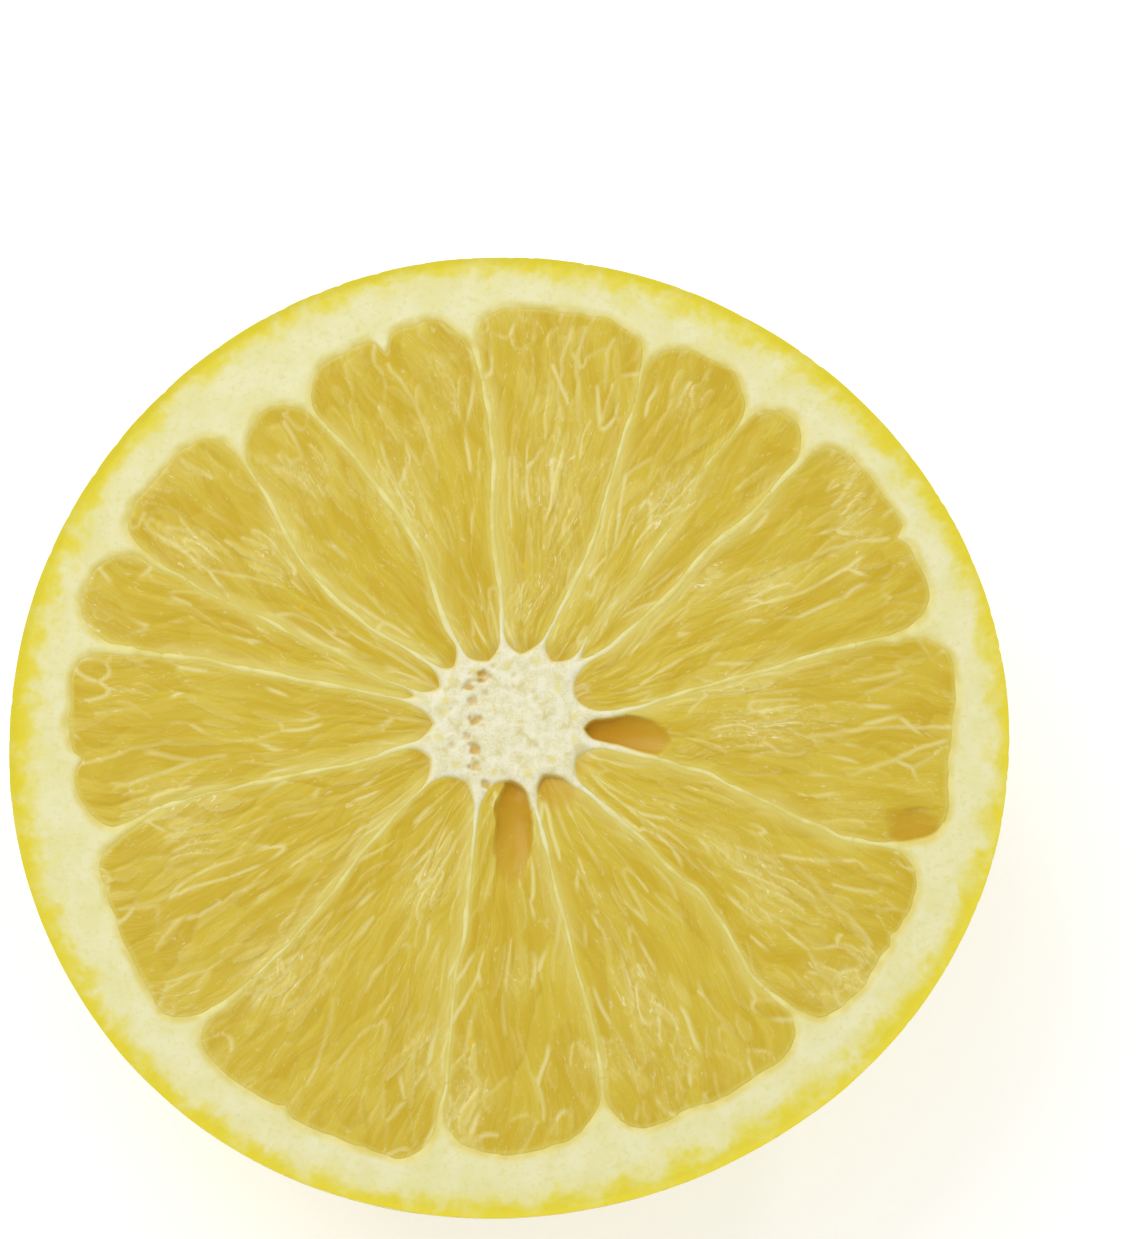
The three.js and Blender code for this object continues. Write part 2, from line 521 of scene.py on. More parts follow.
# %% Peel finish
def make_peel_finish():
    f = Finish("waxy_peel")
    place = f.place()
    _, pore, scar, _ = f.kept("skin")
    drift = f.noise(place, 0.035, 3.0)
    tint = f.mix(f.rise(drift, 0.35, 0.65), colour(221, 196, 36), colour(228, 210, 54))
    fine = f.noise(place, 0.5, 4.0)
    tint = f.mix(f.rise(fine, 0.4, 0.7, 0, 0.3), tint, colour(234, 220, 88))
    glands = f.node("TexVoronoi", {"Vector": place, "Scale": 1.15, "Randomness": 0.9})
    dents = f.rise(glands.outputs["Distance"], 0.0, 0.6)
    tint = f.mix(f.rise(glands.outputs["Distance"], 0.0, 0.6, 0.2, 0), tint, colour(206, 176, 28))
    tint = f.mix(f.rise(pore, 0.1, 0.45, 0.4, 0), tint, colour(202, 172, 24))
    speck = f.node("TexVoronoi", {"Vector": place, "Scale": 0.13, "Randomness": 1.0})
    rare = f.rise(f.noise(place, 0.07, 1.0), 0.42, 0.55)
    torn_edge = f.noise(f.stretched(place, (1.2, 0.6, 0.9)), 1.0, 4.0)
    ragged = f.math("ADD", speck.outputs["Distance"], f.rise(torn_edge, 0.3, 0.7, -0.07, 0.07))
    spot = f.math("MULTIPLY", f.rise(ragged, 0.02, 0.07, 1, 0), rare)
    tint = f.mix(f.math("MULTIPLY", spot, 0.75), tint, colour(128, 98, 34))
    stain = f.rise(f.noise(place, 0.11, 3.0, 0.4), 0.62, 0.75, 0, 0.3)
    tint = f.mix(stain, tint, colour(196, 158, 48))
    long_way = f.stretched(place, (0.9, 0.12, 0.5))
    scratch = f.node("TexVoronoi", {"Vector": long_way, "Scale": 0.55, "Randomness": 1.0})
    line = f.math("MULTIPLY", f.rise(scratch.outputs["Distance"], 0.03, 0.06, 1, 0), rare)
    tint = f.mix(f.math("MULTIPLY", line, 0.6), tint, colour(150, 120, 50))
    tint = f.mix(scar, tint, colour(176, 112, 40))
    f.set(
        Base_Color=tint,
        Roughness=f.rise(fine, 0.3, 0.7, 0.34, 0.48),
        Normal=f.bump(dents, 0.85, 0.19),
        Specular_IOR_Level=0.45,
        Subsurface_Weight=0.06,
        Subsurface_Radius=(1.0, 0.75, 0.2),
        Subsurface_Scale=0.0008,
        Coat_Weight=0.2,
        Coat_Roughness=0.25,
    )
    return f.material


peel_finish = make_peel_finish()
print(peel_finish.name, "has", len(peel_finish.node_tree.nodes), "nodes")

# %% [markdown]
# ## The peel
#
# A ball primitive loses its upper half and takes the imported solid's curve, down to the flat spot
# that it rests on. Small dimples sink inwards from that curve, so the peel never leaves the solid.

# %% The shape of the skin
peel_around = 600                                # points in the rim
peel_rings = 322                                 # rings of the whole ball
pore_spacing = 1.25
pore_depth, pore_spread = 0.08, 0.07             # the shallowest pore, and how much others add
rest_edge = (6, 10)                              # the skin is smooth where it rests
scar_edge = (1.6, 0.9)                           # how far the scar fades out from its middle


def peel_point(angle, from_pole):
    """A point of the smooth skin, from its angle round the axis and its angle from the pole."""
    up = np.maximum(cut_height - pole_to_cut * np.cos(from_pole), 0)
    share = np.sqrt(up / cut_height)
    radius = ball_radius * np.sin(from_pole) * (1 + share * out_of_round(angle) / ball_radius)
    x = ball_middle[0] + radius * np.cos(angle)
    y = ball_middle[1] + radius * np.sin(angle)
    return np.array([x, y, up * (1 - edge_drop / cut_height)]).T


def skin_dents(points):
    """How far the skin sinks at each place, and the distance to the nearest pore."""
    pore, number = nearest_dot(points, pore_spacing, 41)
    dimple = (pore_depth + pore_spread * number) * soft_step(0.5, 0.1, pore)
    slow = 0.1 * (1 + rough_hills(points[:, 0] + points[:, 2], points[:, 1] - points[:, 2], 9, 42))
    return dimple + slow, pore


print("the pores are about", pore_spacing, "mm apart")

# %% Peel
deselect_all()
bpy.ops.mesh.primitive_uv_sphere_add(segments=peel_around, ring_count=peel_rings, radius=1)
peel = bpy.context.object
peel.name = "peel"
delete_points(peel, read_points(peel)[:, 2] > 0.001)
ball = read_points(peel)
ball_angle = np.arctan2(ball[:, 1], ball[:, 0])
from_pole = np.arccos(np.clip(-ball[:, 2], -1, 1))
skin = peel_point(ball_angle, from_pole)
sinking, pore = skin_dents(skin)
resting = soft_step(*rest_edge, np.hypot(skin[:, 0], skin[:, 1]))
inwards = np.array([ball[:, 0], ball[:, 1], ball[:, 2] * resting]).T
skin = (skin - inwards * (sinking * resting)[:, None]) * [just_inside, just_inside, 1]
place_points(peel, skin)
from_end = np.hypot(skin[:, 0] / 1.5, skin[:, 1]) + 0.3 * hills(*skin[:, :2].T, 0.8, 43)
scar = soft_step(*scar_edge, from_end) * (skin[:, 2] < 5)
keep_value(peel, "skin", np.array([pore, scar, 0 * pore]).T)
finish_piece(peel, peel_finish)

rim = from_pole > math.pi / 2 - 0.001
rim_order = np.argsort(ball_angle[rim] % (2 * math.pi))
rim_angles = (ball_angle[rim] % (2 * math.pi))[rim_order]
rim_points = skin[rim][rim_order]
print(f"the rim has {len(rim_points)} points at {rim_points[:, 2].mean():.2f} mm")

# %% [markdown]
# ## The finish of the white parts
#
# Pith, core and walls are the same tissue. Where it is wide it is dry, spongy and creamy white.
# Where it is as thin as a wall, the juice shows through and it turns yellow, most of all at its
# edges. Under the skin the pith becomes zest: a strong yellow that fades inwards in uneven
# tongues, and reaches a little further round each oil gland.


# %% Pith finish
def make_pith_finish():
    f = Finish("pith_and_zest")
    place = f.place()
    _, from_pulp, zest_share, amber = f.kept("white")
    _, central, thread, near_core = f.kept("inner")
    cloudy = f.noise(place, 0.28, 4.0)
    fine = f.noise(place, 1.7, 4.0, 0.0, 0.62)
    grain = f.noise(place, 4.5, 3.0)
    tint = f.mix(f.rise(cloudy, 0.3, 0.7), colour(227, 222, 160), colour(232, 228, 182))
    tint = f.mix(f.rise(fine, 0.5, 0.7, 0, 0.5), tint, colour(221, 212, 132))
    patches = f.rise(f.noise(place, 0.3, 3.0), 0.4, 0.62)
    faint = f.mix(patches, colour(219, 203, 104), colour(230, 219, 140))
    thin = f.mix(near_core, faint, colour(232, 226, 176))
    tint = f.mix(f.rise(from_pulp, 0.3, 1.2, 0.9, 0), tint, thin)
    sponge = f.noise(place, 0.75, 3.0, 0.5)
    white = f.mix(f.rise(grain, 0.35, 0.65), colour(221, 214, 168), colour(231, 227, 196))
    white = f.mix(f.rise(sponge, 0.45, 0.62, 0, 0.6), white, colour(240, 237, 216))
    white = f.mix(f.rise(sponge, 0.44, 0.32, 0, 0.7), white, colour(212, 199, 136))
    tint = f.mix(f.math("MULTIPLY", f.rise(central, 0.0, 1.0), 0.9), tint, white)
    wet = f.mix(near_core, colour(218, 201, 98), colour(227, 215, 144))
    tint = f.mix(f.rise(from_pulp, -0.1, 0.2, 1, 0), tint, wet)
    uneven = f.noise(place, 0.3, 5.0, 0.3, 0.6)
    glands = f.node("TexVoronoi", {"Vector": place, "Scale": 0.9, "Randomness": 0.95})
    dots = f.rise(glands.outputs["Distance"], 0.0, 0.6, -0.09, 0.05)
    edge = f.math("ADD", zest_share, f.rise(uneven, 0.25, 0.75, 0.32, -0.32))
    edge = f.math("ADD", edge, dots)
    tint = f.mix(f.rise(edge, 0.2, 1.05, 0.8, 0), tint, colour(226, 217, 104))
    tint = f.mix(f.rise(edge, 0.0, 0.75, 0.95, 0), tint, colour(224, 208, 42))
    tint = f.mix(thread, tint, colour(224, 212, 120))
    tint = f.mix(amber, tint, colour(203, 162, 44))
    height = f.math("ADD", f.math("MULTIPLY", fine, 0.7), f.math("MULTIPLY", grain, 0.3))
    f.set(
        Base_Color=tint,
        Roughness=f.rise(fine, 0.3, 0.7, 0.5, 0.68),
        Normal=f.bump(height, 0.3, 0.22),
        Specular_IOR_Level=0.25,
        Subsurface_Weight=0.15,
        Subsurface_Radius=(1.0, 0.85, 0.5),
        Subsurface_Scale=0.0006,
    )
    return f.material


pith_finish = make_pith_finish()
print(pith_finish.name, "has", len(pith_finish.node_tree.nodes), "nodes")

# %% [markdown]
# ## The white parts
#
# A knife leaves the white parts almost flat. They stand a touch above the wet pulp and roll down
# under it at every edge. One rule gives that height everywhere, from the depth inside the pulp, so
# the pith ring and the web of walls fit each other although they are two meshes: the ring follows
# the rim's round line, and the web needs small square cells to follow thin walls anywhere.

# %% White parts
white_top = cut_height - 0.3
ring_inner = 37.5                                # from the axis, where the pith ring ends
web_outer = 38.5                                 # and where the web ends, so that they overlap
wall_sink = 0.1                                  # how much lower a thin wall is than wide pith
edge_fall = 0.45                                 # how far the white parts roll down in the pulp
drop_at = 0.8                                    # the depth past which they are left out


def white_height(x, y, depth):
    """The height of the white parts at places measured from the core."""
    spongy = 0.05 * rough_hills(x, y, 1.4, 51) + 0.04 * hills(x, y, 5, 52)
    central = soft_step(9.5, 7, np.hypot(x, y))
    spongy = spongy + central * (0.12 * rough_hills(x, y, 1.3, 53) + 0.08 * hills(x, y, 3.4, 57))
    thin = wall_sink * soft_step(-0.9, -0.25, depth)
    fall = edge_fall * soft_step(-0.35, 0.5, depth)
    below = (0.3 + hollow_shape(x, y)[0]) * soft_step(0.1, 0.6, depth)
    return white_top + spongy - thin - fall - below - pit_depth(x, y)


print(f"the white parts lie at {white_top:.1f} mm")


# %% Zest and threads
def thread_ends(x, y):
    """The ring of pale yellow dots in the core, one at the foot of each wall."""
    found = np.zeros(x.shape)
    for number in range(segment_count):
        angle = look_up(path_table, number, 9.0)
        distance = min(starts[number], starts[number - 1]) - 0.4 + 0.5 * hills(number * 3.1, 0, 1, 54)
        gap = np.hypot(x - distance * math.cos(angle), y - distance * math.sin(angle))
        found = np.maximum(found, soft_step(0.7, 0.2, gap + 0.2 * hills(x, y, 0.6, 55)))
    return found


def zest_width(angle):
    """How far the zest goes in from the skin, in mm. It is widest in three places."""
    return 3.75 + 0.5 * np.cos(3 * (angle - math.radians(60)))


def keep_white(piece, x, y, depth, from_skin):
    """Stores what the pith finish reads. Places are measured from the core."""
    distance = np.hypot(x, y)
    hollow_amber = hollow_shape(x, y)[1] * soft_step(-0.05, 0.2, depth)
    amber = np.maximum(hollow_amber, 0.8 * soft_step(0.0, 0.5, pit_depth(x, y)))
    zest_share = from_skin / zest_width(np.arctan2(y, x))
    central = soft_step(13, 8.5, distance)
    near_core = soft_step(19, 9, distance)
    keep_value(piece, "white", np.array([-depth, zest_share, amber]).T)
    keep_value(piece, "inner", np.array([central, 0.6 * thread_ends(x, y), near_core]).T)


print(f"the zest is {zest_width(0):.1f} mm wide at the right")


# %% Pith ring
ring, around, inwards_share = add_sheet("pith_ring", 2 * peel_around, 58)
ring_angle = around * 2 * math.pi
rim_x = np.interp(ring_angle, rim_angles, rim_points[:, 0], period=2 * math.pi)
rim_y = np.interp(ring_angle, rim_angles, rim_points[:, 1], period=2 * math.pi)
rim_distance = np.hypot(rim_x, rim_y)
distance = rim_distance + (ring_inner - rim_distance) * inwards_share**0.92
x, y = rim_x * distance / rim_distance, rim_y * distance / rim_distance
from_rim = rim_distance - distance
depth = pulp_depth(x - core[0], y - core[1])
height = white_height(x - core[0], y - core[1], depth)
rim_height = float(rim_points[:, 2].mean())
height = rim_height + (height - rim_height) * soft_step(0, 0.7, from_rim)
glands, _ = nearest_dot(np.array([x, y, 0 * x]).T, 1.1, 56)
in_zest = soft_step(0.2, 0.5, from_rim) * soft_step(2.2, 1.2, from_rim)
height = height - 0.07 * in_zest * soft_step(0.45, 0.15, glands)
height = height - 0.4 * soft_step(0.7, 0.0, distance - ring_inner)
place_points(ring, np.array([x, y, height]).T)
keep_white(ring, x - core[0], y - core[1], depth, from_rim)
delete_points(ring, depth > drop_at)
merge_seam(ring)
finish_piece(ring, pith_finish)

# %% Core and walls
web, across, up = add_sheet("core_and_walls", 520, 520)
x, y = (2 * across - 1) * (web_outer + 0.6), (2 * up - 1) * (web_outer + 0.6)
depth = pulp_depth(x, y)
from_axis = np.hypot(x + core[0], y + core[1])
height = white_height(x, y, depth) - 0.3 * soft_step(37.8, web_outer, from_axis)
place_points(web, np.array([x + core[0], y + core[1], height]).T)
keep_white(web, x, y, depth, np.full(x.shape, 20.0))
delete_points(web, (depth > drop_at) | (from_axis > web_outer))
finish_piece(web, pith_finish)

# %% [markdown]
# ## The finish of the pulp
#
# The cut pulp is smooth, clear and golden. Light goes in and comes out again, so it glows. The
# sacs' thin skins draw pale lines and veils on it, mostly from the core to the rind, so the fine
# streaks are laid on coordinates that were kept on the points and follow each segment. Torn
# patches are cloudy. Small pale marks along the sacs are painted glints of the wet surface, and
# the pale rims on one side of the loose drops carry a painted highlight. Hollows are amber,
# because the light there has gone through more juice.


# %% Pulp finish
def make_pulp_finish():
    f = Finish("wet_pulp")
    flow, _, _, _ = f.kept("flow")
    _, line, veil, tone = f.kept("sac")
    _, from_wall, amber, torn = f.kept("pulp")
    wide_streaks = f.noise(f.stretched(flow, (0.1, 0.55, 1)), 1.0, 3.0, 0.5)
    streaks = f.noise(f.stretched(flow, (0.22, 1.7, 1), (7, 3, 0)), 1.0, 3.0, 0.9)
    tint = f.mix(f.rise(wide_streaks, 0.32, 0.68), colour(200, 171, 39), colour(208, 184, 57))
    tint = f.mix(f.rise(tone, 0.55, 1.0, 0, 0.45), tint, colour(198, 167, 32))
    tint = f.mix(f.rise(tone, 0.45, 0.0, 0, 0.4), tint, colour(212, 191, 68))
    pale_share = f.math("ADD", f.math("MULTIPLY", torn, 0.4), 0.14)
    pale = f.math("MULTIPLY", f.rise(streaks, 0.48, 0.7), pale_share)
    tint = f.mix(pale, tint, colour(221, 206, 118))
    deep = f.math("MULTIPLY", f.rise(streaks, 0.45, 0.28), 0.25)
    tint = f.mix(deep, tint, colour(198, 167, 32))
    curls = f.noise(f.stretched(flow, (0.7, 1.3, 1), (2, 8, 0)), 1.0, 3.0, 1.6)
    curl = f.math("MULTIPLY", f.rise(curls, 0.48, 0.64, 0, 0.6), torn)
    tint = f.mix(curl, tint, colour(226, 213, 138))
    hair_share = f.rise(wide_streaks, 0.45, 0.62, 0, 0.4)
    hair = f.math("ABSOLUTE", f.math("SUBTRACT", streaks, 0.53))
    hair = f.math("MULTIPLY", f.rise(hair, 0.0, 0.014, 1, 0), hair_share)
    tint = f.mix(hair, tint, colour(226, 213, 136))
    tint = f.mix(f.math("MULTIPLY", veil, 0.65), tint, colour(221, 206, 116))
    tint = f.mix(f.rise(from_wall, 0.0, 0.5, 0.5, 0), tint, colour(220, 204, 104))
    # Pale lines: sac skins and inner skins, and on one side of each loose drop a painted highlight as
    # well.
    tint = f.mix(f.math("MULTIPLY", line, 0.64), tint, colour(234, 225, 160))
    # Small pale marks drawn out along the sacs, most of all in torn patches: painted glints of the wet
    # surface.
    glint_noise = f.noise(f.stretched(flow, (0.8, 2.4, 1), (4, 2, 0)), 1.0, 2.0, 1.2)
    glint_share = f.math("ADD", f.math("MULTIPLY", torn, 0.6), 0.25)
    painted_glint = f.math("MULTIPLY", f.rise(glint_noise, 0.66, 0.72), glint_share)
    tint = f.mix(painted_glint, tint, colour(242, 235, 196))
    seeds = f.node("TexVoronoi", {"Vector": f.stretched(flow, (0.13, 0.13, 1)), "Scale": 1.0})
    tint = f.mix(f.rise(seeds.outputs["Distance"], 0.025, 0.05, 0.8, 0), tint, colour(228, 186, 30))
    tint = f.mix(amber, tint, colour(193, 143, 14))
    calm = f.math("SUBTRACT", 1.0, amber)
    rough = f.rise(streaks, 0.35, 0.65, 0.28, 0.44)
    f.set(
        Base_Color=tint,
        Roughness=f.math("MAXIMUM", rough, f.math("MULTIPLY", amber, 0.6)),
        Normal=f.bump(f.math("MULTIPLY", streaks, calm), 0.3, 0.3),
        Specular_IOR_Level=0.2,
        Subsurface_Weight=0.2,
        Subsurface_Radius=(1.0, 0.7, 0.2),
        Subsurface_Scale=0.001,
        Coat_Weight=0.1,
        Coat_Roughness=0.12,
    )
    return f.material


pulp_finish = make_pulp_finish()
print(pulp_finish.name, "has", len(pulp_finish.node_tree.nodes), "nodes")

# %% [markdown]
# ## The juice sacs
#
# Each segment is packed with long sacs that fan out from the core, short and round near the rind
# and drawn out into threads near the core. The knife slices most of them level: that is the bed,
# where every place belongs to the sac it is nearest to, counted along and across that sac, and
# some of the borders show as pale lines. Smaller sacs lie loose on the bed as low, rounded drops.

# %% Sac sizes
size_stops = [0, 0.3, 0.7, 0.88, 1]              # share of the way from the core to the rind
bed_lengths = [3.0, 5.4, 5.6, 2.9, 1.7]          # half lengths in mm, at those shares
bed_widths = [0.4, 0.7, 1.05, 1.3, 1.35]
loose_lengths = [1.3, 2.3, 2.6, 1.8, 1.3]
loose_widths = [0.2, 0.36, 0.52, 0.6, 0.62]
drop_tries = 900                                 # sacs of each kind tried in a segment
bed_crowding, loose_crowding = 0.6, 0.8          # how far apart their middles keep
clouds = [  # torn, pale patches: angle, distance, half length and half width
    (81, 27, 6, 3), (39, 25.5, 2.6, 1.8), (30, 31, 3.6, 1.8), (12, 24, 3.2, 1.6),
    (1, 26, 6, 2.4), (240, 20, 3.5, 1.6), (295, 32, 4.5, 2.4), (226, 36, 5, 3),
    (116, 27, 4, 2), (57, 29, 4.5, 2.4), (330, 30, 6, 1.6), (152, 39, 3, 2), (262, 40, 4, 2),
]


def cloudiness(x, y):
    """How torn and pale the pulp is at each place, from 0 to 1."""
    torn = 0.7 * soft_step(0.1, 0.7, rough_hills(x, y, 9, 66))
    for angle, distance, length, width in clouds:
        a = math.radians(angle)
        dx, dy = x - distance * math.cos(a), y - distance * math.sin(a)
        along, across = dx * math.cos(a) + dy * math.sin(a), dy * math.cos(a) - dx * math.sin(a)
        spread = (along / length) ** 2 + (across / width) ** 2
        torn = np.maximum(torn, np.exp(-spread * (1 + 0.5 * hills(x, y, 2, 67))))
    return torn


def segment_frame(number, distance):
    """The middle angle of segment number and half its spread, at each distance from the core."""
    first = look_up(path_table, number, distance)
    spread = (look_up(path_table, (number + 1) % segment_count, distance) - first) % (2 * math.pi)
    return first + spread / 2, spread / 2


print(len(clouds), "torn patches")

# %% Dropping the sacs
def drop_sacs(number, rng, lengths, widths, crowding):
    """Sacs of one kind: rows of x, y, angle, half length, half width and tone. Their middles
    are dropped at random, and a new one is kept only if it isn't inside another."""
    kept = np.zeros((0, 6))
    reach = reaches[number].max()
    for _ in range(drop_tries):
        distance = math.sqrt(rng.uniform(starts[number] ** 2, reach**2))
        middle, half = segment_frame(number, distance)
        across = rng.uniform(-1, 1)
        angle = middle + across * half
        x, y = distance * math.cos(angle), distance * math.sin(angle)
        share = (distance - starts[number]) / (reach - starts[number])
        lean = 0.16 * across + rng.normal(0, 0.15) * (0.5 + share)
        length = np.interp(share, size_stops, lengths) * math.exp(rng.normal(0, 0.25))
        width = np.interp(share, size_stops, widths) * math.exp(rng.normal(0, 0.25))
        if len(kept):
            dx, dy = x - kept[:, 0], y - kept[:, 1]
            c, s = np.cos(kept[:, 2]), np.sin(kept[:, 2])
            along = (dx * c + dy * s) / (kept[:, 3] + length)
            beside = (dy * c - dx * s) / (kept[:, 4] + width)
            if (along**2 + beside**2).min() < crowding:
                continue
        kept = np.vstack([kept, [x, y, angle + lean, length, width, rng.random()]])
    return kept


print("each segment gets", drop_tries, "tries for each kind")


# %% Measuring to the sacs
def sac_distances(x, y, sacs):
    """For each place and each sac: how far out the place is, as the square of a share of the
    sac's size; how far along it and beside it, in mm; and the sac's half width there."""
    x = x + 0.6 * hills(x, y, 6, 61) + 0.08 * hills(x, y, 1.6, 62)
    y = y + 0.6 * hills(x, y, 6, 63) + 0.08 * hills(x, y, 1.6, 64)
    c, s = np.cos(sacs[:, 2]), np.sin(sacs[:, 2])
    dx, dy = x[:, None] - sacs[:, 0], y[:, None] - sacs[:, 1]
    along, beside = dx * c + dy * s, dy * c - dx * s
    width = sacs[:, 4] * np.clip(1 + 0.35 * along / sacs[:, 3], 0.5, 1.4)
    return (along / sacs[:, 3]) ** 2 + (beside / width) ** 2, along, beside, width


one_sac = np.array([[30.0, 0.0, 0.0, 5.0, 1.0, 0.5]])
print("2 mm along a sac:", np.round(sac_distances(np.array([32.0]), np.zeros(1), one_sac)[0], 2))


# %% The bed and the loose sacs
def bed_values(x, y, sacs):
    """At each place: the distance to its sac's border, its sac's tone, and the line there."""
    apart, along, beside, width = sac_distances(x, y, sacs)
    places = np.arange(len(x))
    first = apart.argmin(axis=1)
    least = apart[places, first]
    apart[places, first] = np.inf
    second = apart.argmin(axis=1)
    c, s = np.cos(sacs[:, 2]), np.sin(sacs[:, 2])

    def slope(chosen):
        a = along[places, chosen] / sacs[chosen, 3] ** 2
        b = beside[places, chosen] / width[places, chosen] ** 2
        return 2 * np.array([a * c[chosen] - b * s[chosen], a * s[chosen] + b * c[chosen]])

    steepness = np.linalg.norm(slope(second) - slope(first), axis=0)
    border = (apart[places, second] - least) / np.maximum(steepness, 1e-6)
    pair = ((sacs[first, 5] + sacs[second, 5]) * 7.31) % 1
    near_rind = soft_step(34, 41, np.hypot(x, y))
    broken = soft_step(-0.2, 0.5, hills(x, y, 3.2, 65) + 0.2 * near_rind)
    line = soft_step(0.36, 0.04, border) * soft_step(0.2, 0.95, pair) * broken
    return border, sacs[first, 5], line


def loose_values(x, y, sacs):
    """The drop at each place: its height, its veil, and its rim, pale skin with a painted highlight."""
    apart, _, beside, width = sac_distances(x, y, sacs)
    torn = cloudiness(sacs[:, 0], sacs[:, 1])
    lift = (0.05 + 0.13 * sacs[:, 5]) * (0.5 + 0.5 * torn)
    bulge = lift * np.sqrt(np.clip(1 - apart, 0, 1))
    places = np.arange(len(x))
    top = bulge.argmax(axis=1)
    height = bulge[places, top]
    inwards = (1 - np.sqrt(apart[places, top])) * width[places, top]
    side = np.sign(sacs[top, 5] % 0.1 - 0.05) * beside[places, top] / width[places, top]
    # The rim on one side of each drop is a pale sac skin with a painted highlight on it.
    rim = soft_step(0.32, 0.04, inwards) * soft_step(-0.7, 0.8, side) * (height > 0)
    strength = 0.35 + 0.65 * torn[top]
    veil = soft_step(0, 0.3, inwards) * (0.2 + 0.8 * sacs[top, 5]) * (height > 0) * strength
    return height, veil, rim * strength


print("the sacs are up to", 2 * max(bed_lengths), "mm long")

# %% [markdown]
# ## Thin skins inside the segments
#
# Here and there a thin skin crosses a segment, like a wall that was never finished. Each is a
# faint pale line from one place to another, given by angle and distance from the core.

# %% Inner skins
inner_skins = [  # angle and distance at one end, angle and distance at the other, strength
    (82.9, 43.8, 82.3, 34, 0.8), (80.9, 43.8, 78.6, 31.5, 0.7), (76.6, 43.4, 75.5, 37.5, 0.7),
    (0.7, 46, -1.0, 31, 0.8), (-1.3, 45.6, -7.3, 35.5, 0.9), (284, 20, 277.5, 27, 0.6),
    (27.5, 44.2, 31, 37, 0.8), (30.5, 36.5, 33, 26, 0.5), (109.5, 41.5, 107, 33, 0.7),
    (185.5, 46, 183, 37, 0.7), (240, 44, 236.5, 35, 0.6), (329, 44, 333, 33, 0.6),
    (205, 46.5, 208, 38, 0.5), (151, 43, 149, 36, 0.6), (262.5, 42.5, 268, 37.5, 0.5),
]


def inner_skin_line(x, y):
    """How strongly an inner skin shows at each place, from 0 to 1."""
    bent_x = x + 0.5 * hills(x, y, 4, 81) + 0.15 * hills(x, y, 1.2, 82)
    bent_y = y + 0.5 * hills(x, y, 4, 83) + 0.15 * hills(x, y, 1.2, 84)
    shown = np.zeros(x.shape)
    for angle_1, distance_1, angle_2, distance_2, strength in inner_skins:
        a, b = math.radians(angle_1), math.radians(angle_2)
        start = np.array([math.cos(a), math.sin(a)]) * distance_1
        way = np.array([math.cos(b), math.sin(b)]) * distance_2 - start
        share = ((bent_x - start[0]) * way[0] + (bent_y - start[1]) * way[1]) / (way @ way)
        share = np.clip(share, 0, 1)
        gap = np.hypot(bent_x - start[0] - share * way[0], bent_y - start[1] - share * way[1])
        fading = strength * (1 - 0.6 * share)
        shown = np.maximum(shown, fading * soft_step(0.34, 0.08, gap))
    return shown


print(len(inner_skins), "inner skins")

# %% [markdown]
# ## The pulp
#
# Each segment's pulp is a sheet whose columns run from the core to the rind, so its cells lie
# along the sacs. It reaches a little under the white parts on every side, and it is level where
# it meets them. Further in, its height adds up slow unevenness, the lift of each sac and the loose
# drops. The tip at the core sinks, and so do the hollows.

# %% The plan of a sheet
pulp_level = white_top - 0.23                    # where it meets the white parts
tuck = 0.35                                      # how far it runs on under them at the core
overrun = 0.9                                    # and at the rind
cell_across = 0.16
cell_along = 0.27


def sheet_plan(number):
    """The places of a segment's sheet, the distances from the core and the shares across."""
    columns = math.ceil(2 * half_widths[number] / cell_across)
    rows = math.ceil((reaches[number].max() - starts[number]) / cell_along)
    piece, across, t = add_sheet(f"pulp_{number + 1:02d}", columns, rows)
    a = 1 - across                               # turned round, so that its faces look up
    share = 2 * a - 1
    radius = min(end_radius, corner_room[number])
    bite = np.clip(radius - (1 - np.abs(share)) * half_widths[number], 0, None)
    corner = radius - np.sqrt(np.maximum(radius**2 - bite**2, 0))
    last = reaches[number, 0] + (reaches[number, 1] - reaches[number, 0]) * a + overrun - corner
    distance = (starts[number] - tuck) + t * (last - starts[number] + tuck)
    middle, half = segment_frame(number, distance)
    half = half + 0.1 / distance
    angle = middle + share * half
    return piece, distance * np.cos(angle), distance * np.sin(angle), distance, share * half


print("the pulp meets the white parts", round(white_top - pulp_level, 2), "mm below their top")


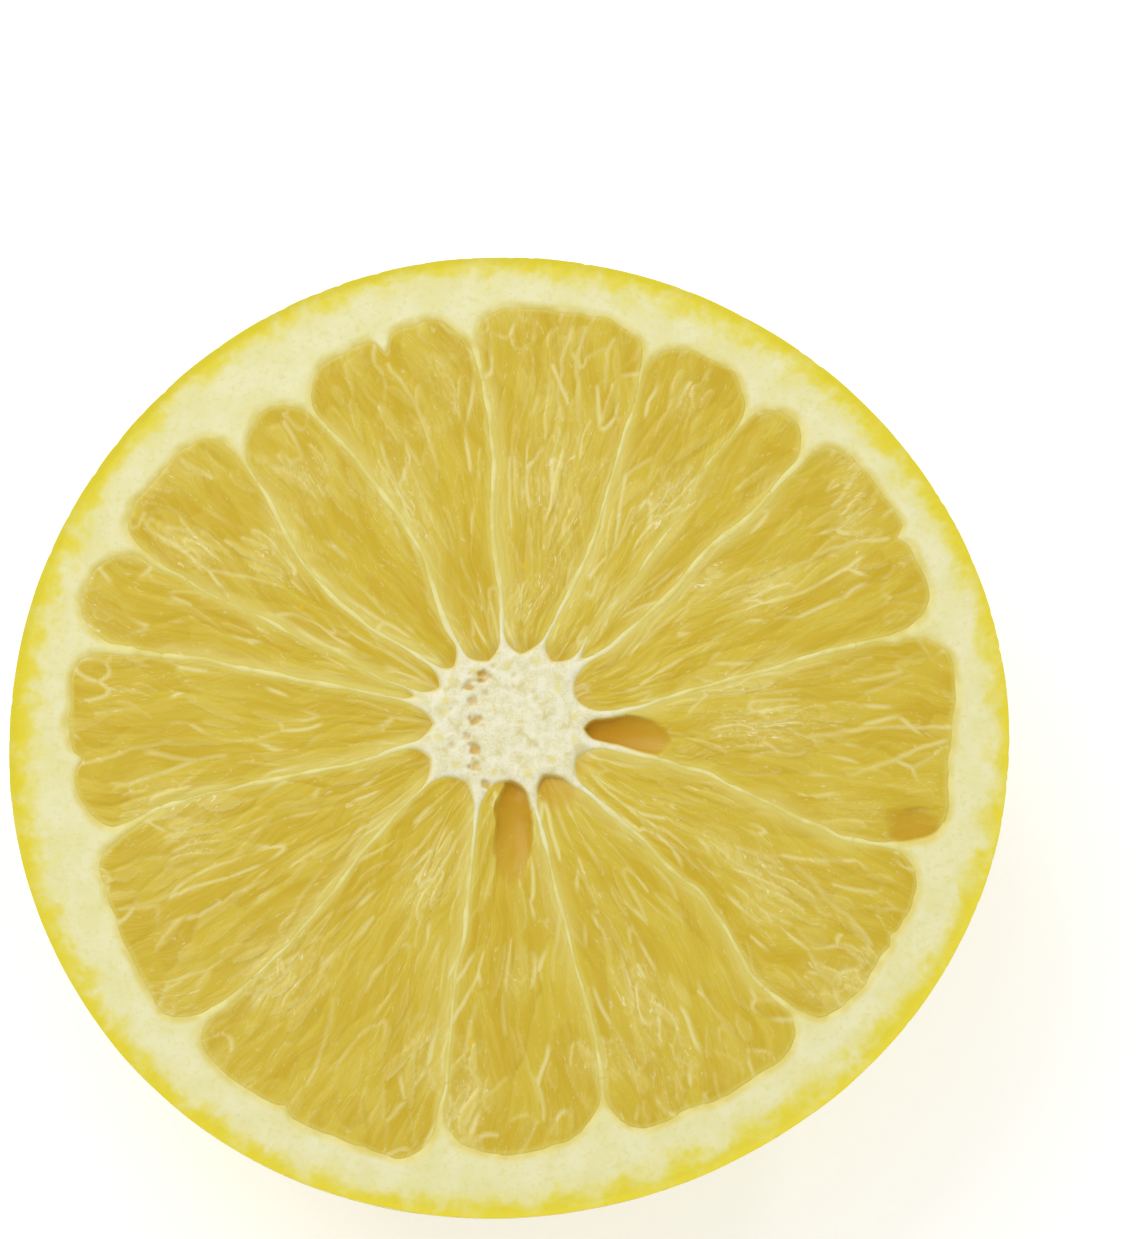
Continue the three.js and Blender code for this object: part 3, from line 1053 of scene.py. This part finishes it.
# %% Pulp
def make_pulp(number, rng):
    bed = drop_sacs(number, rng, bed_lengths, bed_widths, bed_crowding)
    loose = drop_sacs(number, rng, loose_lengths, loose_widths, loose_crowding)
    loose = loose[rng.random(len(loose)) < 0.3 + 0.7 * cloudiness(loose[:, 0], loose[:, 1])]
    piece, x, y, distance, off_middle = sheet_plan(number)
    depth = segment_depth(number, x, y)
    border, tone, line = bed_values(x, y, bed)
    drop, veil, rim = loose_values(x, y, loose)
    hollow, amber = hollow_shape(x, y)
    torn = cloudiness(x, y)
    calm = 1 - soft_step(0.1, 0.6, amber)
    # The pale lines take in the drops' rims, which carry a painted highlight as well as a sac skin.
    line = np.maximum(line * np.where(drop > 0, 0.4, 1), rim)
    line = np.maximum(line, inner_skin_line(x, y)) * calm
    relief = 0.06 * np.sqrt(soft_step(0, 0.8, border)) + 0.05 * (tone - 0.5) + drop + 0.03 * line
    slow = 0.09 * hills(x, y, 8, 71) + 0.05 * hills(x, y, 2.6, 72)
    settled = soft_step(-0.05, 0.9, depth)       # level where the pulp meets the white parts
    tip = soft_step(2.6, 0.4, distance - starts[number])
    climbing = 0.05 * soft_step(0.8, 0.0, depth) * calm
    tucked = 0.3 * soft_step(-0.15, -0.55, depth)
    height = pulp_level + (relief * calm + slow) * settled + climbing
    height = height - 0.3 * tip - tucked - hollow
    seen_side = soft_step(-0.5, 0.6, hills(x, y, 7, 73) + 0.6 * np.sign(off_middle))
    beside_wall = soft_step(1.8, 0.2, depth) * seen_side * soft_step(41, 36, distance)
    veil = np.maximum(veil, 0.8 * beside_wall)
    veil = np.maximum(veil, 0.5 * torn) * calm
    place_points(piece, np.array([x + core[0], y + core[1], height]).T)
    bend = 1.3 * hills(x, y, 8, 68) + 0.4 * hills(x, y, 3, 69)
    keep_value(piece, "flow", np.array([distance, off_middle * distance + bend, 0 * x + 40 * number]).T)
    keep_value(piece, "sac", np.array([line, veil, tone]).T)
    keep_value(piece, "pulp", np.array([depth, np.maximum(amber, 0.3 * tip), torn * calm]).T)
    finish_piece(piece, pulp_finish)
    return len(bed) + len(loose)


rng = np.random.default_rng(7)
sac_total = sum(make_pulp(number, rng) for number in range(segment_count))
print(sac_total, "juice sacs")

# %% [markdown]
# ## The studio
#
# A plain pale floor that glows a little, a soft white surround and one large soft lamp from the
# upper left, so that the shadow is faint and falls to the lower right. The floor's glow is painted
# light: it lifts the shadow and lights the peel from below. A small lamp from the upper right puts
# glints on the wet pulp. The camera looks down on the cut face, a few degrees off its axis, so that
# a little of the peel shows below the rim.

# %% Floor
floor_width = 6                                  # in metres
deselect_all()
bpy.ops.mesh.primitive_plane_add(size=floor_width)
floor = bpy.context.object
floor.name = "floor"
floor_paint = Finish("pale_glowing_floor")
mottle = floor_paint.noise(floor_paint.place(), 0.004, 2.0)
pale = floor_paint.mix(mottle, colour(230, 230, 230), colour(234, 234, 234))
# The floor glows a little: painted light that brightens its shadow and lights the peel from below.
floor_paint.set(Base_Color=pale, Roughness=0.9, Emission_Color=(1, 1, 1, 1), Emission_Strength=0.37)
floor.data.materials.append(floor_paint.material)
print("the floor is", floor_width, "m wide")

# %% Lights
world = bpy.data.worlds.new("soft_surround")
bpy.context.scene.world = world
world.use_nodes = True
world.node_tree.nodes["Background"].inputs["Color"].default_value = (1, 1, 1, 1)
world.node_tree.nodes["Background"].inputs["Strength"].default_value = 0.69


def add_lamp(name, place, size, power, tint):
    """A square lamp that faces the cut face. Places and sizes are in metres."""
    lamp = bpy.data.lights.new(name, "AREA")
    lamp.size = size
    lamp.energy = power
    lamp.color = tint
    holder = bpy.data.objects.new(name, lamp)
    bpy.context.collection.objects.link(holder)
    holder.location = place
    aim = Vector(place) - Vector((0, 0, cut_height * MM))
    holder.rotation_euler = aim.to_track_quat("Z", "Y").to_euler()


add_lamp("key_lamp", (-0.4, 0.42, 0.9), 0.6, 4.3, (1, 0.985, 0.96))
add_lamp("small_lamp", (0.35, 0.6, 0.6), 0.08, 0.65, (1, 1, 1))
print("two lamps and a white surround")

# %% Camera
camera_distance = 0.55
camera_height = math.radians(80)                 # above the level of the cut face
camera_side = math.radians(245)                  # the side it leans to
frame_middle = Vector((6.0, 12.0, cut_height)) * MM

camera_data = bpy.data.cameras.new("camera")
camera_data.sensor_width = 36
camera_data.lens = 150
camera = bpy.data.objects.new("camera", camera_data)
bpy.context.collection.objects.link(camera)
bpy.context.scene.camera = camera

flat = math.cos(camera_height)
back = Vector((flat * math.cos(camera_side), flat * math.sin(camera_side), math.sin(camera_height)))
right = Vector((0, 1, 0)).cross(back).normalized()
turned = Matrix((right, back.cross(right), back)).transposed().to_4x4()
turned.translation = frame_middle + back * camera_distance
camera.matrix_world = turned
bpy.context.scene.view_settings.view_transform = "Standard"
print("the camera stands", round(turned.translation.z, 3), "m above the floor")
